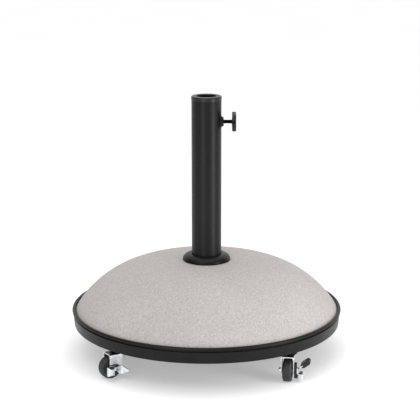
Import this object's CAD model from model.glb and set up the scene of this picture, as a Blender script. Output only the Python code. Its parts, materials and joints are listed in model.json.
"""Looks for the round parasol base: a domed weight in a black tray, an upright tube and four castors."""

import json
import math

import bmesh
import bpy
from mathutils import Matrix, Vector, noise


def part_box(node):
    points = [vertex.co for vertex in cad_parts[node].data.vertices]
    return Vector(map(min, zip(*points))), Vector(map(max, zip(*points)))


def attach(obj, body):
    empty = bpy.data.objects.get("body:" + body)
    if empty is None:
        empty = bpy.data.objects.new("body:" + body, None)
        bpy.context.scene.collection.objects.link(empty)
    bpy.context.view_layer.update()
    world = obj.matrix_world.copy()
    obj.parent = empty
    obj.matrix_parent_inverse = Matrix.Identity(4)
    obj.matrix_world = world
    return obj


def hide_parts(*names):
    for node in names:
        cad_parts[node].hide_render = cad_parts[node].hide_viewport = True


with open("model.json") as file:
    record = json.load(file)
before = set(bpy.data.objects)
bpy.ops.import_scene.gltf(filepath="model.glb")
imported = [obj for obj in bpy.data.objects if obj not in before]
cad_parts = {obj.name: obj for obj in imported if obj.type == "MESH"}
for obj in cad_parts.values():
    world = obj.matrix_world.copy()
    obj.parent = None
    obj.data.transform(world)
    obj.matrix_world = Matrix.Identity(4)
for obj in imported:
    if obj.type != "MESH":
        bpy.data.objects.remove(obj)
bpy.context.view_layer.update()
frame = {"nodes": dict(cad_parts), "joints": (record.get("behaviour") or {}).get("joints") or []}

MM = 0.001
TURN = 2 * math.pi

# ---------------------------------------------------------------- stage

CAMERA_PLACE = (0.00705, -2.752, 0.9635)
CAMERA_PITCH = 13.66
LENS_MM = 120
SENSOR_MM = 36


def linear(hex_code):
    """The linear colour of an sRGB hex value."""
    parts = [int(hex_code[i:i + 2], 16) / 255 for i in (1, 3, 5)]
    return [p / 12.92 if p <= 0.04045 else ((p + 0.055) / 1.055) ** 2.4 for p in parts] + [1.0]


def link_in(obj):
    bpy.context.scene.collection.objects.link(obj)
    return obj


def place_camera():
    data = bpy.data.cameras.new("camera")
    data.lens = LENS_MM
    data.sensor_width = SENSOR_MM
    data.clip_end = 50
    camera = link_in(bpy.data.objects.new("camera", data))
    camera.location = CAMERA_PLACE
    camera.rotation_euler = (math.radians(90 - CAMERA_PITCH), 0, 0)
    bpy.context.scene.camera = camera


def area_light(name, place, aim, size, power):
    data = bpy.data.lights.new(name, "AREA")
    data.shape = "RECTANGLE"
    data.size, data.size_y = size
    data.energy = power
    lamp = link_in(bpy.data.objects.new(name, data))
    lamp.location = place
    lamp.rotation_euler = (Vector(aim) - Vector(place)).to_track_quat("-Z", "Y").to_euler()


def light_studio():
    """A white ceiling over walls that change round the room, so that the tube shows soft upright bands."""
    bpy.context.scene.view_settings.view_transform = "Standard"
    world = bpy.data.worlds.new("studio")
    bpy.context.scene.world = world
    world.use_nodes = True
    tree = world.node_tree
    way = add(tree, "TexCoord", {}, {}).outputs["Generated"]
    bearing = add(tree, "TexGradient", {"gradient_type": "RADIAL"}, {"Vector": way})
    walls = add(tree, "ValToRGB", {"stops": [
        (0.0, "#3c3c3c"), (0.08, "#4a4a4a"), (0.17, "#dcdcdc"), (0.2, "#dcdcdc"), (0.28, "#707070"),
        (0.34, "#7c7c7c"), (0.38, "#ffffff"), (0.43, "#ffffff"), (0.48, "#808080"), (0.53, "#8c8c8c"),
        (0.62, "#ffffff"), (0.86, "#f4f4f4"), (0.95, "#6c6c6c")]}, {"Fac": bearing})
    height = add(tree, "SeparateXYZ", {}, {"Vector": way}).outputs["Z"]
    above = add(tree, "MapRange", {"From Min": 0.4, "From Max": 0.8}, {"Value": height})
    room = add(tree, "Mix", {"data_type": "RGBA", "B": "#ffffff"}, {"Factor": above, "A": walls})
    fill(tree, tree.nodes["Background"], {"Strength": 1.06}, {"Color": room})
    area_light("overhead", (0, 0.1, 2.4), (0, 0, 0), (1.6, 1.6), 14)
    area_light("key_front", (-0.6, -1.75, 2.1), (0, 0, 0.1), (1.4, 1.0), 10)
    area_light("strip_right", (0.66, -0.49, 0.22), (0, 0, 0.22), (0.2, 0.44), 2.0)
    area_light("strip_left", (-0.42, -0.9, 0.22), (0, 0, 0.22), (0.2, 0.44), 1.1)


def lay_floor():
    mesh = bmesh.new()
    bmesh.ops.create_grid(mesh, x_segments=2, y_segments=2, size=8)
    data = bpy.data.meshes.new("floor")
    mesh.to_mesh(data)
    mesh.free()
    data.materials.append(studio_card())
    link_in(bpy.data.objects.new("floor", data))


# ---------------------------------------------------------------- materials

# A noise pattern stays mostly between these two values, so a range of roughness is drawn out from them.
NOISE_SPAN = {"From Min": 0.3, "From Max": 0.7}


def fill(tree, node, settings, links):
    """Sets a node's properties, values and ramp stops, and links the nodes or sockets that feed it."""
    for key, value in settings.items():
        if key == "stops":
            ramp = node.color_ramp.elements
            while len(ramp) < len(value):
                ramp.new(1)
            for stop, (at, shade) in zip(ramp, value):
                stop.position = at
                stop.color = linear(shade)
        elif hasattr(node, key):
            setattr(node, key, value)
        else:
            socket = next(s for s in node.inputs if s.enabled and s.name == key)
            socket.default_value = linear(value) if isinstance(value, str) else value
    for key, source in links.items():
        if isinstance(source, bpy.types.Node):
            source = next(s for s in source.outputs if s.enabled)
        if isinstance(key, str):
            key = next(i for i, s in enumerate(node.inputs) if s.enabled and s.name == key)
        tree.links.new(source, node.inputs[key])


def add(tree, kind, settings, links):
    """Adds a node with its settings and links."""
    node = tree.nodes.new("ShaderNode" + kind)
    fill(tree, node, settings, links)
    return node


def new_material(name):
    """A material's node tree and the point on the piece that each pattern is drawn from."""
    material = bpy.data.materials.new(name)
    material.use_nodes = True
    tree = material.node_tree
    return material, tree, add(tree, "TexCoord", {}, {}).outputs["Object"]


def finish_material(material, settings, links):
    """Gives the shader its even values and its patterns."""
    tree = material.node_tree
    fill(tree, tree.nodes["Principled BSDF"], settings, links)
    return material


def cast_concrete():
    # Cast concrete, rubbed smooth: a warm pale grey, matt, with light and dark sand and a few darker stones.
    # The sand is about 1 mm in life, and its grains are drawn 2.2 mm across so that they show.
    material, tree, place = new_material("cast_concrete")
    cloud = add(tree, "TexNoise", {"Scale": 1000 / 110, "Detail": 5.0}, {"Vector": place})
    cement = add(tree, "ValToRGB", {"stops": [(0.3, "#ada7a4"), (0.7, "#b7b2af")]}, {"Fac": cloud})
    sand = add(tree, "TexVoronoi", {"Scale": 1000 / 2.2}, {"Vector": place})
    tone = add(tree, "ValToRGB", {"stops": [
        (0.1, "#96918e"), (0.35, "#a9a4a1"), (0.65, "#b1aca9"), (0.9, "#c3bebb")]},
               {"Fac": sand.outputs["Color"]})
    body = add(tree, "Mix", {"data_type": "RGBA", "Factor": 0.6}, {"A": cement, "B": tone})
    stones = add(tree, "TexVoronoi", {"Scale": 1000 / 3}, {"Vector": place})
    few = add(tree, "ValToRGB", {"stops": [(0.05, "#ffffff"), (0.1, "#000000")]},
              {"Fac": stones.outputs["Color"]})
    speckled = add(tree, "Mix", {"data_type": "RGBA", "B": "#a5a09d"}, {"Factor": few, "A": body})
    matt = add(tree, "MapRange", {**NOISE_SPAN, "To Min": 0.8, "To Max": 0.95}, {"Value": cloud})
    rubbed = add(tree, "TexNoise", {"Scale": 1000 / 1.5, "Detail": 4.0}, {"Vector": place})
    rough = add(tree, "Bump", {"Distance": 0.12 * MM}, {"Height": rubbed})
    pits = add(tree, "ValToRGB", {"stops": [(0.0, "#000000"), (0.2, "#ffffff")]}, {"Fac": stones})
    pitted = add(tree, "Bump", {"Distance": 0.08 * MM}, {"Height": pits, "Normal": rough})
    return finish_material(material, {"IOR": 1.5, "Specular IOR Level": 0.3},
                           {"Base Color": speckled, "Roughness": matt, "Normal": pitted})


def tray_polypropylene():
    # Injection-moulded polypropylene with a fine spark texture: near black, satin, greyer where it is rubbed.
    material, tree, place = new_material("tray_polypropylene")
    handling = add(tree, "TexNoise", {"Scale": 1000 / 45, "Detail": 6.0, "Roughness": 0.65},
                   {"Vector": place})
    tone = add(tree, "ValToRGB", {"stops": [(0.4, "#100f10"), (0.75, "#1a191a")]}, {"Fac": handling})
    satin = add(tree, "MapRange", {**NOISE_SPAN, "To Min": 0.32, "To Max": 0.46}, {"Value": handling})
    spark = add(tree, "TexNoise", {"Scale": 1000 / 1.2, "Detail": 3.0}, {"Vector": place})
    texture = add(tree, "Bump", {"Distance": 0.03 * MM}, {"Height": spark})
    return finish_material(material, {"IOR": 1.49, "Specular IOR Level": 0.18},
                           {"Base Color": tone, "Roughness": satin, "Normal": texture})


def moulded_nylon():
    # Glass-filled nylon, moulded black: darker and a little glossier than the tray, with faint flow marks.
    material, tree, place = new_material("moulded_nylon")
    flow = add(tree, "TexNoise", {"Scale": 1000 / 25, "Detail": 4.0, "Distortion": 1.5}, {"Vector": place})
    tone = add(tree, "ValToRGB", {"stops": [(0.35, "#121213"), (0.7, "#1d1d1f")]}, {"Fac": flow})
    satin = add(tree, "MapRange", {**NOISE_SPAN, "To Min": 0.3, "To Max": 0.42}, {"Value": flow})
    fibres = add(tree, "TexNoise", {"Scale": 1000 / 0.8, "Detail": 3.0}, {"Vector": place})
    texture = add(tree, "Bump", {"Distance": 0.02 * MM}, {"Height": fibres})
    return finish_material(material, {"IOR": 1.53, "Specular IOR Level": 0.35},
                           {"Base Color": tone, "Roughness": satin, "Normal": texture})


def powder_coat():
    # Steel under black polyester powder coat: satin, with an orange-peel ripple 2 mm across.
    material, tree, place = new_material("powder_coat")
    bake = add(tree, "TexNoise", {"Scale": 1000 / 60, "Detail": 4.0}, {"Vector": place})
    tone = add(tree, "ValToRGB", {"stops": [(0.3, "#0e0d0f"), (0.7, "#161517")]}, {"Fac": bake})
    satin = add(tree, "MapRange", {**NOISE_SPAN, "To Min": 0.34, "To Max": 0.42}, {"Value": bake})
    peel = add(tree, "TexNoise", {"Scale": 1000 / 2, "Detail": 2.0}, {"Vector": place})
    ripple = add(tree, "Bump", {"Distance": 0.03 * MM}, {"Height": peel})
    return finish_material(material, {"IOR": 1.5, "Specular IOR Level": 0.22},
                           {"Base Color": tone, "Roughness": satin, "Normal": ripple})


def blackened_steel():
    # Steel with black oxide: nearly black metal, a little brighter on its rubbed edges and crests.
    material, tree, place = new_material("blackened_steel")
    edge = add(tree, "NewGeometry", {}, {}).outputs["Pointiness"]
    tone = add(tree, "ValToRGB", {"stops": [(0.5, "#0c0c0d"), (0.58, "#151516")]}, {"Fac": edge})
    oil = add(tree, "TexNoise", {"Scale": 1000 / 6, "Detail": 4.0}, {"Vector": place})
    satin = add(tree, "MapRange", {**NOISE_SPAN, "To Min": 0.34, "To Max": 0.5}, {"Value": oil})
    etched = add(tree, "TexNoise", {"Scale": 1000 / 0.6, "Detail": 2.0}, {"Vector": place})
    texture = add(tree, "Bump", {"Distance": 0.01 * MM}, {"Height": etched})
    return finish_material(material, {"Metallic": 1.0},
                           {"Base Color": tone, "Roughness": satin, "Normal": texture})


def bright_zinc():
    # Pressed steel under bright zinc plate: pale, faintly blue metal, cloudy in patches, brighter on edges.
    material, tree, place = new_material("bright_zinc")
    cloud = add(tree, "TexNoise", {"Scale": 1000 / 9, "Detail": 5.0}, {"Vector": place})
    plated = add(tree, "ValToRGB", {"stops": [(0.3, "#d0d3d7"), (0.7, "#e6e8ea")]}, {"Fac": cloud})
    edge = add(tree, "NewGeometry", {}, {}).outputs["Pointiness"]
    worn = add(tree, "MapRange", {"From Min": 0.53, "From Max": 0.62}, {"Value": edge})
    tone = add(tree, "Mix", {"data_type": "RGBA", "B": "#eff0f1"}, {"Factor": worn, "A": plated})
    polish = add(tree, "MapRange", {**NOISE_SPAN, "To Min": 0.2, "To Max": 0.36}, {"Value": cloud})
    drawn = add(tree, "TexNoise", {"Scale": 1000 / 0.8, "Detail": 3.0}, {"Vector": place})
    texture = add(tree, "Bump", {"Distance": 0.012 * MM}, {"Height": drawn})
    return finish_material(material, {"Metallic": 1.0},
                           {"Base Color": tone, "Roughness": polish, "Normal": texture})


def bearing_steel():
    # Hardened steel balls, polished: near-white metal with a sharp highlight and a little grease.
    material, tree, place = new_material("bearing_steel")
    grease = add(tree, "TexNoise", {"Scale": 1000 / 4, "Detail": 3.0}, {"Vector": place})
    tone = add(tree, "ValToRGB", {"stops": [(0.4, "#dcdcde"), (0.7, "#a9a595")]}, {"Fac": grease})
    polish = add(tree, "MapRange", {**NOISE_SPAN, "To Min": 0.06, "To Max": 0.24}, {"Value": grease})
    return finish_material(material, {"Metallic": 1.0}, {"Base Color": tone, "Roughness": polish})


def rolled_steel():
    # Hot-rolled steel left bare: dull blue-grey mill scale with brown rust in patches.
    material, tree, place = new_material("rolled_steel")
    damp = add(tree, "TexNoise", {"Scale": 1000 / 14, "Detail": 7.0}, {"Vector": place})
    tone = add(tree, "ValToRGB", {"stops": [(0.5, "#5b5c5e"), (0.64, "#7a4a2e")]}, {"Fac": damp})
    dull = add(tree, "MapRange", {"From Min": 0.5, "From Max": 0.64, "To Min": 0.45, "To Max": 0.85},
               {"Value": damp})
    scale = add(tree, "TexNoise", {"Scale": 1000 / 1.5, "Detail": 4.0}, {"Vector": place})
    texture = add(tree, "Bump", {"Distance": 0.06 * MM}, {"Height": scale})
    return finish_material(material, {"Metallic": 0.7},
                           {"Base Color": tone, "Roughness": dull, "Normal": texture})


def turned_brass():
    # Turned brass: warm yellow metal with fine tool rings 0.8 mm apart.
    material, tree, place = new_material("turned_brass")
    rings = add(tree, "TexWave", {"bands_direction": "Z", "Scale": 1000 / 0.8 / 20, "Distortion": 0.3},
                {"Vector": place})
    tone = add(tree, "ValToRGB", {"stops": [(0.2, "#b5964f"), (0.8, "#cfb06c")]}, {"Fac": rings})
    cut = add(tree, "Bump", {"Distance": 0.02 * MM}, {"Height": rings})
    polish = add(tree, "MapRange", {"To Min": 0.25, "To Max": 0.38}, {"Value": rings})
    return finish_material(material, {"Metallic": 1.0},
                           {"Base Color": tone, "Roughness": polish, "Normal": cut})


def natural_nylon():
    # Turned natural nylon: milky off-white and waxy, and light passes a little way into its skin.
    material, tree, place = new_material("natural_nylon")
    milk = add(tree, "TexNoise", {"Scale": 1000 / 4, "Detail": 3.0}, {"Vector": place})
    tone = add(tree, "ValToRGB", {"stops": [(0.3, "#dcd9ce"), (0.7, "#eeece4")]}, {"Fac": milk})
    waxy = add(tree, "MapRange", {**NOISE_SPAN, "To Min": 0.35, "To Max": 0.5}, {"Value": milk})
    tooled = add(tree, "TexNoise", {"Scale": 1000 / 0.5, "Detail": 2.0}, {"Vector": place})
    texture = add(tree, "Bump", {"Distance": 0.01 * MM}, {"Height": tooled})
    return finish_material(material, {"IOR": 1.53, "Subsurface Weight": 0.15, "Subsurface Scale": 1.5 * MM},
                           {"Base Color": tone, "Roughness": waxy, "Normal": texture})


def hub_polypropylene():
    # Moulded grey polypropylene: mid grey and matt, with paler scuffs round the hub.
    material, tree, place = new_material("hub_polypropylene")
    scuffs = add(tree, "TexNoise", {"Scale": 1000 / 5, "Detail": 6.0, "Roughness": 0.7}, {"Vector": place})
    tone = add(tree, "ValToRGB", {"stops": [(0.4, "#47474a"), (0.75, "#66666a")]}, {"Fac": scuffs})
    matt = add(tree, "MapRange", {**NOISE_SPAN, "To Min": 0.4, "To Max": 0.55}, {"Value": scuffs})
    spark = add(tree, "TexNoise", {"Scale": 1000 / 0.9, "Detail": 2.0}, {"Vector": place})
    texture = add(tree, "Bump", {"Distance": 0.03 * MM}, {"Height": spark})
    return finish_material(material, {"IOR": 1.49},
                           {"Base Color": tone, "Roughness": matt, "Normal": texture})


def moulded_rubber():
    # Moulded black rubber: matt, with grey dust rubbed into it and a fine mould grain.
    material, tree, place = new_material("moulded_rubber")
    dust = add(tree, "TexNoise", {"Scale": 1000 / 7, "Detail": 6.0, "Roughness": 0.65}, {"Vector": place})
    tone = add(tree, "ValToRGB", {"stops": [(0.42, "#1c1c1d"), (0.8, "#3b3a3a")]}, {"Fac": dust})
    matt = add(tree, "MapRange", {"From Min": 0.4, "From Max": 0.8, "To Min": 0.5, "To Max": 0.8},
               {"Value": dust})
    mould = add(tree, "TexNoise", {"Scale": 1000 / 0.9, "Detail": 4.0}, {"Vector": place})
    texture = add(tree, "Bump", {"Distance": 0.05 * MM}, {"Height": mould})
    return finish_material(material, {"IOR": 1.52},
                           {"Base Color": tone, "Roughness": matt, "Normal": texture})


def studio_card():
    # Seamless white card, matt, glowing a little so that shadows on it stay pale.
    material, tree, place = new_material("studio_card")
    fibre = add(tree, "TexNoise", {"Scale": 2.5}, {"Vector": place})
    tone = add(tree, "ValToRGB", {"stops": [(0.3, "#d9d9d9"), (0.7, "#dcdcdc")]}, {"Fac": fibre})
    return finish_material(material, {"Roughness": 0.95, "Specular IOR Level": 0.1,
                                      "Emission Color": "#ffffff",
                                      "Emission Strength": 0.36}, {"Base Color": tone})


# ---------------------------------------------------------------- making meshes, in millimetres

def skin(rings, joined=False):
    """A mesh over rings of points. One point closes an end, and joined runs the last ring to the first."""
    mesh = bmesh.new()
    rows = [[mesh.verts.new(point) for point in ring] for ring in rings]
    count = max(len(row) for row in rows)
    for low, high in zip(rows, rows[1:] + rows[:1] if joined else rows[1:]):
        for i in range(count):
            j = (i + 1) % count
            corners = [low[i % len(low)], low[j % len(low)], high[j % len(high)], high[i % len(high)]]
            mesh.faces.new(list(dict.fromkeys(corners)))
    return mesh


def circle(radius, height, steps):
    """Points round the Z axis, or the one point on it."""
    if radius == 0:
        return [(0, 0, height)]
    angles = [TURN * i / steps for i in range(steps)]
    return [(radius * math.cos(a), radius * math.sin(a), height) for a in angles]


def lathe(outline, steps=96):
    """A solid turned about Z from (radius, height) points. An outline that ends on the axis closes there."""
    on_axis = outline[0][0] == 0
    return skin([circle(radius, height, steps) for radius, height in outline], joined=not on_axis)


def ease(outline, size, steps=3):
    """The outline with each corner that is off the axis rounded over about size."""
    points = []
    for i, corner in enumerate(outline):
        here = Vector(corner)
        if here.x == 0:
            points.append((0, here.y))
            continue
        back = Vector(outline[i - 1]) - here
        on = Vector(outline[(i + 1) % len(outline)]) - here
        start = here + back.normalized() * min(size, back.length * 0.45)
        end = here + on.normalized() * min(size, on.length * 0.45)
        for k in range(steps + 1):
            t = k / steps
            points.append(tuple(start.lerp(here, t).lerp(here.lerp(end, t), t)))
    return points


def arc(centre, radius, first, last, steps):
    """Points (radius, height) round a centre, between two angles in degrees."""
    angles = [math.radians(first + (last - first) * i / steps) for i in range(steps + 1)]
    return [(centre[0] + radius * math.cos(a), centre[1] + radius * math.sin(a)) for a in angles]


def make_piece(name, mesh, body, material, stands_for=(), place=Matrix(), sharp=38, outward=True):
    """Turns a mesh in millimetres into a piece that rides on a body and stands for its CAD nodes."""
    if outward:
        bmesh.ops.recalc_face_normals(mesh, faces=mesh.faces)
    bmesh.ops.scale(mesh, vec=(MM, MM, MM), verts=mesh.verts)
    for face in mesh.faces:
        face.smooth = True
    for edge in mesh.edges:
        edge.smooth = edge.calc_face_angle(0) < math.radians(sharp)
    data = bpy.data.meshes.new(name)
    mesh.to_mesh(data)
    mesh.free()
    data.materials.append(material)
    piece = link_in(bpy.data.objects.new(name, data))
    piece.matrix_world = place
    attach(piece, body)
    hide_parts(*stands_for)
    return piece


def finish_node(node, material, edge=0):
    """Gives a CAD node its material and may round its sharp edges by edge millimetres."""
    obj = frame["nodes"][node]
    for slot in obj.material_slots:
        slot.material = material
    if edge:
        obj.modifiers.new("weld", "WELD").merge_threshold = 0.001 * MM
        bevel = obj.modifiers.new("bevel", "BEVEL")
        bevel.width = edge * MM
        bevel.segments = 2
        bevel.limit_method = "ANGLE"
        bevel.angle_limit = math.radians(40)
        obj.modifiers.new("shading", "WEIGHTED_NORMAL").keep_sharp = True


def size_of(node):
    """A CAD node's lowest and highest corners in millimetres."""
    low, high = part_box(node)
    return low / MM, high / MM


# ---------------------------------------------------------------- sizes, in millimetres

tray_low, tray_high = size_of("rim_tray")
weight_low, weight_high = size_of("concrete_weight")
tube_high = size_of("pole_tube")[1]
cover_low, cover_high = size_of("flange_cover")
plate_high = size_of("foot_plate")[1]
nut_low, nut_high = size_of("clamp_nut")
screw_low, screw_high = size_of("clamp_screw")
knob_low, knob_high = size_of("knob")
LIP_R = 3.8
LIP_MIDDLE = (tray_high.x - LIP_R + 0.4, tray_high.z - LIP_R)
WEIGHT_R = LIP_MIDDLE[0] - LIP_R - 0.6
EDGE_Z = LIP_MIDDLE[1] + 0.4
TUBE_R = tube_high.y
SCREW_Z = (nut_low.z + nut_high.z) / 2
ALONG_SCREW = Matrix.Translation((0, 0, SCREW_Z * MM)) @ Matrix.Rotation(math.radians(90), 4, "Y")

# ---------------------------------------------------------------- weight and tray

DOME_FLAT = 3.5
DOME_FULL = 0.92


def dome_height(radius):
    return EDGE_Z + (weight_high.z - EDGE_Z) * (1 - (radius / WEIGHT_R) ** DOME_FLAT) ** DOME_FULL


def make_dome():
    """The cast weight, with the slow unevenness of a rubbed surface and a few pinholes."""
    rings = 130
    outline = [(plate_high.x, weight_low.z), (plate_high.x, plate_high.z), (TUBE_R, plate_high.z)]
    for i in range(rings):
        radius = WEIGHT_R * math.sin(math.radians(90 * i / rings))
        if radius > TUBE_R:
            outline.append((radius, dome_height(radius)))
    outline += arc((WEIGHT_R - 1.2, EDGE_Z - 0.4), 1.2, 20, -20, 3)
    outline += [(WEIGHT_R, EDGE_Z - 4), (WEIGHT_R - 1, weight_low.z)]
    mesh = lathe(outline, 320)
    for vert in mesh.verts:
        if vert.co.z > EDGE_Z:
            place = vert.co * 0.02
            hump = 0.16 * noise.noise(place) + 0.05 * noise.noise(place * 6)
            pit = max(0, noise.noise(vert.co * 0.22) - 0.66) * 3
            vert.co.z -= 0.12 + hump + pit
    make_piece("dome", mesh, "base", cast_concrete(), ["concrete_weight"], sharp=50)


def make_tray(plastic):
    """The moulded tray: a floor with ribs under it, a leaning side, and a rolled lip over a groove."""
    foot_r = LIP_MIDDLE[0] - 0.1
    floor = 2.5
    groove = (LIP_MIDDLE[0] - 1, LIP_MIDDLE[1] - 5.6)
    outline = [(0, tray_low.z), (foot_r - 60, tray_low.z), (foot_r - 58, tray_low.z + 0.5),
               (foot_r - 10, tray_low.z + 0.5)]
    outline += arc((foot_r - 2.2, tray_low.z + 2.2), 2.2, -90, 0, 6)
    outline += [(groove[0] + 2.9, groove[1] - 0.5), (groove[0] + 2.4, groove[1]), groove,
                (groove[0], groove[1] + 4.4)]
    outline += arc(LIP_MIDDLE, LIP_R, -14, 190, 22)
    outline += [(WEIGHT_R + 0.15, LIP_MIDDLE[1] - 2.2), (foot_r - 4, tray_low.z + floor),
                (0, tray_low.z + floor)]
    mesh = lathe(outline, 320)
    rib_low, rib_high = tray_low.z - 2.4, tray_low.z + 0.6
    ring_radii = (78, 140, 202)
    for ring_r in ring_radii:
        add_ring(mesh, ring_r, 1.2, rib_low, rib_high)
    spokes = 24
    for i in range(spokes):
        add_rib(mesh, TURN * (i + 0.5) / spokes, ring_radii[0], ring_radii[-1], 1.1, rib_low, rib_high)
    make_piece("tray", mesh, "base", plastic, ["rim_tray"])


def add_ring(mesh, radius, half, low, high):
    """Adds a round rib to a mesh."""
    inner, outer = radius - half, radius + half
    join(mesh, lathe(ease([(inner, low), (outer, low), (outer, high), (inner, high)], 0.5), 160))


def add_rib(mesh, turn, start, end, half, low, high):
    """Adds a straight rib that runs outward from the Z axis."""
    rib = bmesh.new()
    section = ease([(-half, high), (-half * 0.7, low), (half * 0.7, low), (half, high)], 0.5)
    ends = [[rib.verts.new((along, across, height)) for across, height in section] for along in (start, end)]
    count = len(section)
    for i in range(count):
        j = (i + 1) % count
        rib.faces.new([ends[0][i], ends[0][j], ends[1][j], ends[1][i]])
    for ring in ends:
        rib.faces.new(ring)
    bmesh.ops.rotate(rib, cent=(0, 0, 0), matrix=Matrix.Rotation(turn, 3, "Z"), verts=rib.verts)
    join(mesh, rib)


def join(mesh, other):
    """Moves another mesh's faces into this one."""
    data = bpy.data.meshes.new("part")
    other.to_mesh(data)
    other.free()
    mesh.from_mesh(data)
    bpy.data.meshes.remove(data)


# ---------------------------------------------------------------- upright tube

def make_cover(plastic):
    """The ring that hides the tube's foot: a thin upright rim, then a quarter-round up to the tube."""
    inner = TUBE_R + 0.2
    outer = cover_high.x
    rim = 2.0
    low, high = cover_low.z, cover_high.z
    rise = [(inner + 1.5 + (outer - inner - 1.5) * math.cos(a), low + rim + (high - low - rim) * math.sin(a))
            for a in (math.radians(90 * i / 24) for i in range(1, 25))]
    outline = [(inner, low), (outer - 0.6, low), (outer, low + 0.6), (outer, low + rim)] + rise
    outline += [(inner + 0.4, high), (inner, high - 0.5)]
    make_piece("foot_cover", lathe(outline, 128), "base", plastic, ["flange_cover"],
               sharp=50)


def make_nut(coat):
    """The nut and the bead of weld that runs round it on the tube."""
    radius = (nut_high.z - nut_low.z) / 2
    bore = (screw_high.z - screw_low.z) / 2 + 0.05
    face = nut_high.x
    steps = 96
    rings = []

    def add_loop(out, lift, from_face):
        ring = []
        for i in range(steps):
            a = TURN * i / steps
            seat = math.sqrt(TUBE_R ** 2 - (out * math.sin(a)) ** 2)
            ripple = 0.12 * math.sin(a * 30) if 0 < lift < 2 and not from_face else 0
            height = face - lift if from_face else seat + lift
            ring.append(((out + ripple) * math.cos(a), (out + ripple) * math.sin(a), height))
        rings.append(ring)

    for out, lift in [(bore, 3.2), (bore, 0.5), (bore + 0.5, 0), (radius - 1.6, 0), (radius - 0.75, 0.2),
                      (radius - 0.2, 0.75), (radius, 1.6)]:
        add_loop(out, lift, True)
    for out, lift in [(radius, 1.9), (radius + 0.5, 1.7), (radius + 1.2, 1.2), (radius + 1.7, 0.6),
                      (radius + 1.9, -0.4), (bore, -0.6)]:
        add_loop(out, lift, False)
    make_piece("weld_nut", skin(rings, joined=True), "base", coat, ["clamp_nut"], ALONG_SCREW)


def make_screw(steel):
    """A rod with a thread cut along it, whose points rise and fall with the helix."""
    radius = (screw_high.z - screw_low.z) / 2
    pitch, depth, tip, steps, rows = 1.25, 0.7, 2.3, 48, 8
    start, end = screw_low.x, screw_high.x
    rings = [[(0, 0, start)], circle(radius - 1.5, start, steps), circle(radius - 1.2, start + 0.3, steps),
             circle(radius - 1.2, start + tip, steps)]
    count = int((end - start - tip) / pitch * rows)
    for k in range(count + 1):
        height = start + tip + (end - start - tip) * k / count
        fade = min(1, (height - start - tip) / pitch, (end - height) / pitch)
        ring = []
        for i in range(steps):
            crest = 1 - abs(2 * ((height / pitch - i / steps) % 1) - 1)
            out = radius - depth * (1 - min(1, crest * 1.25) * fade)
            ring.append((out * math.cos(TURN * i / steps), out * math.sin(TURN * i / steps), height))
        rings.append(ring)
    rings.append([(0, 0, end)])
    make_piece("thumb_screw", skin(rings), "screw", steel, ["clamp_screw"], ALONG_SCREW,
               sharp=60)


def make_knob(plastic):
    """A moulded knob of four round lobes, with eased edges and a shallow dish in its face."""
    lobe_r, lobe_at, core, boss = 9.0, 13.2, 12.0, 8.5
    steps = 128
    back, front = knob_low.x, knob_high.x

    def reach(a):
        """The knob's radius at an angle: the lobes and the core, melted together."""
        total = core ** 14
        for k in range(4):
            off = a - math.radians(45 + 90 * k)
            inside = lobe_r ** 2 - (lobe_at * math.sin(off)) ** 2
            if inside > 0 and math.cos(off) > 0:
                total += (lobe_at * math.cos(off) + math.sqrt(inside)) ** 14
        return total ** (1 / 14)

    def lobed(share, inset, height):
        angles = [TURN * i / steps for i in range(steps)]
        spans = [reach(a) * share - inset for a in angles]
        return [(out * math.cos(a), out * math.sin(a), height) for out, a in zip(spans, angles)]

    shelf = back + 0.6
    rings = [circle(0, back, steps), circle(boss - 0.3, back, steps), circle(boss, back + 0.3, steps),
             circle(boss, shelf, steps)]
    rings += [lobed(0.85, 0, shelf), lobed(1, 1.3, shelf), lobed(1, 0.6, shelf + 0.3),
              lobed(1, 0.15, shelf + 1.0), lobed(1, 0, shelf + 2.2), lobed(1, 0.1, front - 2.2),
              lobed(1, 0.4, front - 1.1), lobed(1, 1.0, front - 0.4), lobed(1, 2.2, front - 0.1),
              lobed(0.72, 0, front)]
    rings += [circle(boss, front, steps), circle(boss - 0.5, front - 0.5, steps),
              circle(0, front - 0.7, steps)]
    make_piece("knob_lobes", skin(rings), "screw", plastic, ["knob"], ALONG_SCREW)


# ---------------------------------------------------------------- castors, in frames with +X to the wheel

FORK_HALF = 12.75           # half the width over the fork's legs
WHEEL_WIDTH = 18
AXLE_END = -17.75           # the axle's places are heights along it, from the wheel's middle
HEAD_SEAT = 15.15
LOCK_NUT = (-16.25, -12.75)
SCREW_OFFSET = 15           # from the swivel's axis to each plate screw, both ways


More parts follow.
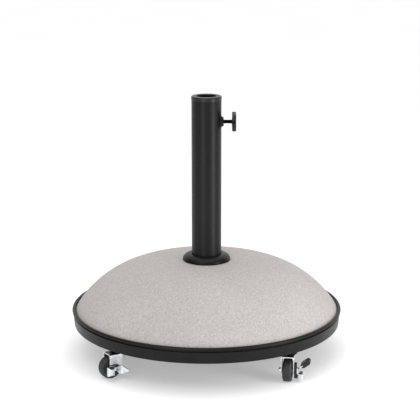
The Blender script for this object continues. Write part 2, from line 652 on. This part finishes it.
def make_fork(place, body, zinc, top, axle, trail, node):
    """A fork pressed from one sheet: a round-backed top with two legs, bent down over a small radius."""
    half, leg_r, bend, sheet = FORK_HALF, 7.0, 2.4, 1.8
    lower = [(-half - 1, top - 4), (-7, axle + 14), (1, axle + 1.5), (trail - leg_r, axle + 1.5)]

    def low_edge(x):
        if x >= trail - leg_r:
            return axle - math.sqrt(max(0, leg_r ** 2 - (x - trail) ** 2))
        for (x0, z0), (x1, z1) in zip(lower, lower[1:]):
            if x <= x1:
                return z0 + (z1 - z0) * (x - x0) / (x1 - x0)

    run = [trail + leg_r * math.cos(math.radians(180 * i / 16)) for i in range(17)]
    run += [(trail - leg_r) * (1 - i / 6) for i in range(1, 6)]
    plan = [(x, 0, 1) for x in run]
    plan += [(0, math.cos(a), math.sin(a)) for a in (math.radians(90 + 180 * i / 20) for i in range(21))]
    plan += [(x, 0, -1) for x in reversed(run)]
    mesh = bmesh.new()
    columns = []
    for x, out_x, out_y in plan:
        column = [Vector((x, 0, top))]
        for k in range(6):
            a = math.radians(90 * k / 5)
            reach = half - bend * (1 - math.sin(a))
            column.append(Vector((x + out_x * reach, out_y * reach, top - bend * (1 - math.cos(a)))))
        foot = low_edge(x + out_x * half)
        for k in range(1, 7):
            column.append(Vector((x + out_x * half, out_y * half,
                                  (top - bend) + (foot - top + bend) * k / 6)))
        columns.append([mesh.verts.new(point) for point in column])
    for left, right in zip(columns, columns[1:]):
        for k in range(len(left) - 1):
            mesh.faces.new([left[k], left[k + 1], right[k + 1], right[k]])
    bmesh.ops.remove_doubles(mesh, verts=mesh.verts, dist=0.01)
    bmesh.ops.dissolve_degenerate(mesh, edges=mesh.edges, dist=0.001)
    fork = make_piece(body + "_fork_pressing", mesh, body, zinc, [node], place, outward=False)
    wall = fork.modifiers.new("sheet", "SOLIDIFY")
    wall.thickness = sheet * MM
    wall.offset = -1
    wall.use_even_offset = True
    edge = fork.modifiers.new("edge", "BEVEL")
    edge.width = 0.35 * MM
    edge.segments = 2
    edge.limit_method = "ANGLE"
    edge.angle_limit = math.radians(50)


def hexagon(flat, low, high, steps=48):
    """Rings for a hexagon with its corners turned off. Flat is half the width across its flats."""
    def out(i):
        return flat / math.cos((TURN * i / steps + TURN / 12) % (TURN / 6) - TURN / 12)

    def ring(end, sign):
        return [(out(i) * math.cos(TURN * i / steps), out(i) * math.sin(TURN * i / steps),
                 end + sign * (0.1 + (out(i) - flat) * 0.6)) for i in range(steps)]

    return [circle(flat * 0.98, low, steps), ring(low, 1), ring(high, -1), circle(flat * 0.98, high, steps)]


def make_axle(place, body, zinc, nodes):
    """The axle, with a low round head at one end and a nut at the other, where two threads stand out."""
    steps = 48
    end, seat = AXLE_END, HEAD_SEAT
    lock_low, lock_high = LOCK_NUT
    rings = [circle(0, end, steps), circle(2.3, end, steps)]
    for k in range(3):
        rings += [circle(2.95, end + 0.35 + 0.5 * k, steps), circle(2.6, end + 0.6 + 0.5 * k, steps)]
    rings += [circle(3, lock_high, steps), circle(3, seat, steps), circle(5.3, seat, steps),
              circle(5.6, seat + 0.3, steps), circle(5.6, seat + 1.0, steps), circle(4.9, seat + 1.8, steps),
              circle(3.4, seat + 2.2, steps), circle(0, seat + 2.2, steps)]
    turned = place @ Matrix.Rotation(math.radians(-90), 4, "X")
    make_piece(body + "_axle_rivet", skin(rings), body, zinc, [nodes[0]], turned)
    nut = skin([circle(3.05, lock_low, steps)] + hexagon(4.85, lock_low, lock_high)
               + [circle(3.05, lock_high, steps)], joined=True)
    make_piece(body + "_axle_lock_nut", nut, body, zinc, [nodes[1]], turned)


def make_castor_screws(zinc, pivots):
    """Four flanged hexagon screws through each castor's plate."""
    low, high = size_of("castor_screws")
    steps = 48
    mesh = bmesh.new()
    for pivot in pivots:
        turn = math.atan2(pivot.y, pivot.x)
        for along, across in ((-1, -1), (-1, 1), (1, -1), (1, 1)):
            socket = [circle(0, low.z + 0.4, steps), circle(2.6, low.z + 0.4, steps)]
            flange = [circle(4.3, low.z + 2.1, steps), circle(4.5, low.z + 2.4, steps),
                      circle(4.5, low.z + 2.8, steps)]
            shank = [circle(2.5, low.z + 2.8, steps), circle(2.5, high.z - 0.8, steps),
                     circle(0, high.z, steps)]
            screw = skin(socket + hexagon(3.6, low.z, low.z + 2.3) + flange + shank)
            out = pivot.xy.length / MM + along * SCREW_OFFSET
            place = Matrix.Rotation(turn, 4, "Z") @ Matrix.Translation((out, across * SCREW_OFFSET, 0))
            bmesh.ops.transform(screw, matrix=place, verts=screw.verts)
            join(mesh, screw)
    make_piece("castor_flange_screws", mesh, "base", zinc, ["castor_screws"])


def make_wheel(place, body, plastic, rubber, radius, nodes):
    """A hub with six ribs a side, and a tyre with a step at each shoulder and two lines round its tread."""
    width = WHEEL_WIDTH
    hub_r, axle_r, boss, web, rim = 14.0, 3.05, 9.95, 3.5, width / 2 - 0.5
    half = ease([(axle_r, boss), (axle_r + 3, boss), (axle_r + 3.6, web), (hub_r - 2.8, web),
                 (hub_r - 2, rim), (hub_r, rim)], 0.7)
    hub = lathe([(r, -w) for r, w in half[1:]] + [(r, w) for r, w in reversed(half[1:])], 72)
    for i in range(6):
        for face in (-1, 1):
            rib = bmesh.new()
            bmesh.ops.create_cube(rib, size=1)
            bmesh.ops.scale(rib, vec=(hub_r - 2.5 - axle_r - 2, 1.5, rim - 1.5), verts=rib.verts)
            bmesh.ops.bevel(rib, geom=rib.edges, offset=0.25, segments=2, affect="EDGES")
            bmesh.ops.translate(rib, vec=((hub_r + axle_r) / 2 - 0.2, 0, face * (rim - 1.5) / 2),
                                verts=rib.verts)
            bmesh.ops.rotate(rib, cent=(0, 0, 0), matrix=Matrix.Rotation(TURN * i / 6, 3, "Z"),
                             verts=rib.verts)
            join(hub, rib)
    turned = place @ Matrix.Rotation(math.radians(-90), 4, "X")
    make_piece(body + "_hub_moulding", hub, body, plastic, [nodes[0]], turned)
    shoulder = 4.0
    side = [(hub_r, width / 2 - 0.5), (hub_r + 1, width / 2), (hub_r + 2.2, width / 2),
            (hub_r + 2.6, width / 2 - 0.4)]
    side += arc((radius - shoulder, width / 2 - shoulder - 0.4), shoulder, 90, 0, 10)
    side += [(radius, 3.4), (radius - 0.45, 3.2), (radius - 0.45, 2.8), (radius, 2.6), (radius, 0.3),
             (radius - 0.12, 0.15)]
    tyre = lathe(side + [(r, -w) for r, w in reversed(side)], 96)
    make_piece(body + "_tyre_moulding", tyre, body, rubber, [nodes[1]], turned)


def make_castors(zinc, plastic, rubber, black_plastic, black_steel, ball_steel):
    """Builds each castor's moving pieces from the places of its own joints."""
    joints = {joint["name"]: joint for joint in frame["joints"]}
    corners = ("front_left", "front_right", "rear_right", "rear_left")
    make_castor_screws(zinc, [Vector(joints[corner + "_swivel_turn"]["pos_m"]) for corner in corners])
    for corner in corners:
        pivot = Vector(joints[corner + "_swivel_turn"]["pos_m"])
        axle = Vector(joints[corner + "_wheel_roll"]["pos_m"])
        ahead = Vector((axle.x - pivot.x, axle.y - pivot.y))
        facing = Matrix.Rotation(math.atan2(ahead.y, ahead.x), 4, "Z")
        place = Matrix.Translation((pivot.x, pivot.y, 0)) @ facing
        swivel, wheel = corner + "_swivel", corner + "_wheel"
        trail, axle_z = ahead.length / MM, axle.z / MM
        top = size_of(corner + "_race")[0].z
        make_fork(place, swivel, zinc, top, axle_z, trail, corner + "_fork")
        at_axle = place @ Matrix.Translation((trail * MM, 0, axle_z * MM))
        make_axle(at_axle, swivel, zinc, [corner + "_axle", corner + "_axle_nut"])
        make_wheel(at_axle, wheel, plastic, rubber, axle_z, [corner + "_hub", corner + "_tyre"])
        finish_node(corner + "_plate", black_steel, 0.4)
        finish_node(corner + "_race", black_steel, 0.3)
        finish_node(corner + "_kingpin", zinc, 0.4)
        finish_node(corner + "_balls", ball_steel)
        finish_node(corner + "_brake_cam", black_plastic, 0.5)
        finish_node(corner + "_brake_lever", zinc, 0.4)
        if corner + "_pedal_pad" in frame["nodes"]:
            finish_node(corner + "_pedal_pad", black_plastic, 0.9)


# ---------------------------------------------------------------- the whole object

place_camera()
light_studio()
lay_floor()

tray_plastic = tray_polypropylene()
black_plastic = moulded_nylon()
coat = powder_coat()
zinc = bright_zinc()
black_steel = blackened_steel()
bare_steel = rolled_steel()
make_dome()
make_tray(tray_plastic)
make_cover(tray_plastic)
make_nut(coat)
make_screw(black_steel)
make_knob(black_plastic)
finish_node("pole_tube", coat)
finish_node("tube_cap", black_plastic, 0.3)
finish_node("lower_guide", black_plastic)
finish_node("foot_plate", bare_steel)
finish_node("anchor_bars", bare_steel)
finish_node("castor_inserts", turned_brass())
finish_node("pressure_pad", natural_nylon())
make_castors(zinc, hub_polypropylene(), moulded_rubber(), black_plastic, black_steel, bearing_steel())
